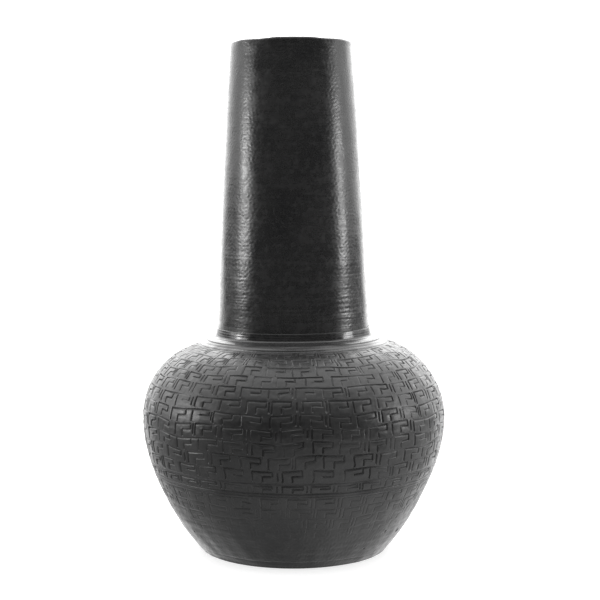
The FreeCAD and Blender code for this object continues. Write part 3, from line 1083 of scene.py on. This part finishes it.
def raw_clay(name):
    """The unrubbed inside: sooty, matt and gritty."""
    shader = Shader(name)
    clouds = shader.noise(30.0, detail=4.0, roughness=0.6)
    grit = shader.noise(900.0, detail=3.0, roughness=0.65)
    drag = shader.noise(1.0, stretch=(40.0, 40.0, 420.0), detail=2.0)
    tone = shader.blend(shader.span(clouds, 0.3, 0.7, 0.0, 1.0), SOOT, ASH)
    tone = shader.blend(shader.span(grit, 0.55, 0.8, 0.0, 0.5), tone, GRIT)
    shader.feed(shader.surface.inputs["Base Color"], tone)
    shader.feed(shader.surface.inputs["Roughness"], shader.span(grit, 0.2, 0.8, 0.72, 0.92))
    shader.surface.inputs["IOR"].default_value = 1.45
    normal = shader.bump(drag, 0.10)
    normal = shader.bump(grit, 0.06, normal)
    shader.feed(shader.surface.inputs["Normal"], normal)
    return shader.material


# ---- the studio ----

FLOOR_SIDES = 4.0
FLOOR_FRONT = -1.05         # the paper ends there, before the dark of the room
FLOOR_BACK = 5.0
LIGHT_DISTANCE = 1.3


def studio_floor():
    mesh = bpy.data.meshes.new("studio_floor")
    corners = [(-FLOOR_SIDES, FLOOR_FRONT, 0), (FLOOR_SIDES, FLOOR_FRONT, 0),
               (FLOOR_SIDES, FLOOR_BACK, 0), (-FLOOR_SIDES, FLOOR_BACK, 0)]
    mesh.from_pydata(corners, [], [(0, 1, 2, 3)])
    floor = bpy.data.objects.new("studio_floor", mesh)
    bpy.context.scene.collection.objects.link(floor)
    shader = Shader("pale_paper")
    fibres = shader.noise(40.0, detail=3.0)
    tone = shader.blend(fibres, (0.48, 0.48, 0.48, 1), (0.52, 0.52, 0.52, 1))
    shader.feed(shader.surface.inputs["Base Color"], tone)
    shader.surface.inputs["Roughness"].default_value = 0.9
    shader.surface.inputs["Emission Color"].default_value = (1, 1, 1, 1)
    shader.surface.inputs["Emission Strength"].default_value = 0.70
    mesh.materials.append(shader.material)
    floor.visible_glossy = False    # the polished clay mirrors the even tone of the surroundings


def softbox(name, azimuth, low, high, width, radiance):
    """A tall soft light. Azimuth is to the right of the camera's side, seen from the vase."""
    light = bpy.data.lights.new(name, "AREA")
    light.shape = "RECTANGLE"
    light.size = width
    light.size_y = high - low
    light.energy = radiance * math.pi * width * (high - low)
    lamp = bpy.data.objects.new(name, light)
    turn = math.radians(azimuth)
    lamp.location = (LIGHT_DISTANCE * math.sin(turn), -LIGHT_DISTANCE * math.cos(turn),
                     (low + high) / 2)
    outward = lamp.location.copy()
    outward.z = 0.0
    lamp.rotation_mode = "QUATERNION"
    lamp.rotation_quaternion = outward.to_track_quat("Z", "Y")
    lamp.visible_camera = False
    bpy.context.scene.collection.objects.link(lamp)


def surroundings():
    """White paper round the sides and back, with a dark gap between it and the pale table at
    each side, a soft light overhead, and a dark room in front."""
    world = bpy.data.worlds.new("studio")
    world.use_nodes = True
    shader = Nodes(world.node_tree)
    coordinates = shader.node("TexCoord")
    parts = shader.node("SeparateXYZ")
    shader.feed(parts.inputs[0], coordinates.outputs["Generated"])
    right, back, up = parts.outputs["X"], parts.outputs["Y"], parts.outputs["Z"]

    room = shader.span(up, 0.18, 0.48, 0.10, 0.50)
    overhead = shader.span(up, 0.68, 0.97, 0.0, 1.8)
    front = shader.sums("ADD", room, overhead)

    table = shader.span(right, -0.9, 0.9, 0.52, 1.1)
    table = shader.sums("MULTIPLY", table, shader.span(up, -1.0, -0.88, 0.35, 1.0))
    table = shader.sums("ADD", table, shader.span(back, 0.40, 1.0, 0.0, 1.9))

    straight_behind = shader.span(back, 0.64, 0.86, 0.0, 1.0)
    gap = shader.weigh(straight_behind, shader.span(up, -0.01, 0.05, 0.04, 1.0), 1.0)
    paper = shader.sums("MULTIPLY", gap, shader.span(up, 0.15, 0.40, 1.75, 2.6))
    paper = shader.sums("MULTIPLY", paper, shader.span(back, 0.45, 1.0, 1.0, 1.9))
    paper = shader.weigh(shader.span(up, -0.18, -0.03, 0.0, 1.0), table, paper)

    above = shader.weigh(shader.span(back, -0.40, 0.10, 0.0, 1.0), front, paper)
    light = shader.weigh(shader.span(up, -0.28, -0.13, 0.0, 1.0), table, above)
    seen = shader.node("LightPath").outputs["Is Camera Ray"]
    background = world.node_tree.nodes["Background"]
    shader.feed(background.inputs["Strength"], shader.sums("MAXIMUM", light, seen))
    background.inputs["Color"].default_value = (1, 1, 1, 1)
    bpy.context.scene.world = world


CAMERA_PLACE = (0.0045, -0.9709, 0.2583)
CAMERA_DOWN = 5.04          # degrees below the horizontal
CAMERA_LENS = 83.94         # mm


def camera():
    data = bpy.data.cameras.new("camera")
    data.lens = CAMERA_LENS
    data.sensor_width = 36.0
    data.clip_start = 0.05
    data.clip_end = 50.0
    eye = bpy.data.objects.new("camera", data)
    eye.location = CAMERA_PLACE
    eye.rotation_euler = (math.radians(90.0 - CAMERA_DOWN), 0.0, 0.0)
    bpy.context.scene.collection.objects.link(eye)
    bpy.context.scene.camera = eye


# ---- the vase ----

inside = raw_clay("sooty_inside")
body_clay = burnished_clay("stamped_black_clay", gloss=0.36, lines=0.030, peel=0.055)
bowl_clay = burnished_clay("bowl_black_clay", gloss=0.38, lines=0.045, peel=0.045)
neck_clay = burnished_clay("neck_black_clay", gloss=0.25, lines=0.030, peel=0.050)
trimmed_clay = burnished_clay("trimmed_black_clay", gloss=0.17, lines=0.020, peel=0.025)

foot_base([bowl_clay, inside])
foot_corner_coil([inside, inside])
burnished_bowl([bowl_clay, inside])
stamped_belly([body_clay, inside])
stamped_shoulder([body_clay, inside, trimmed_clay])
neck_joint_coil([inside, inside])
root_collar([trimmed_clay, inside])
neck_length("neck_lower_length", "lower_neck", NECK_OUTSIDE.low, NECK_OUTSIDE.where(NECK_SEAM),
            NECK_INSIDE.low, NECK_INSIDE.where(NECK_SEAM + NECK_BEVEL), [neck_clay, inside])
neck_length("neck_upper_length", "upper_neck", NECK_OUTSIDE.where(NECK_SEAM),
            NECK_OUTSIDE.where(LIP_SEAM), NECK_INSIDE.where(NECK_SEAM + NECK_BEVEL),
            NECK_INSIDE.where(LIP_SEAM + LIP_BEVEL), [neck_clay, inside])
rounded_lip([neck_clay, inside])

surroundings()
studio_floor()
softbox("left_softbox", azimuth=-84.0, low=0.235, high=0.445, width=0.34, radiance=17.0)
softbox("right_softbox", azimuth=85.5, low=0.205, high=0.455, width=0.32, radiance=12.0)
bpy.context.scene.view_settings.view_transform = "Standard"
camera()
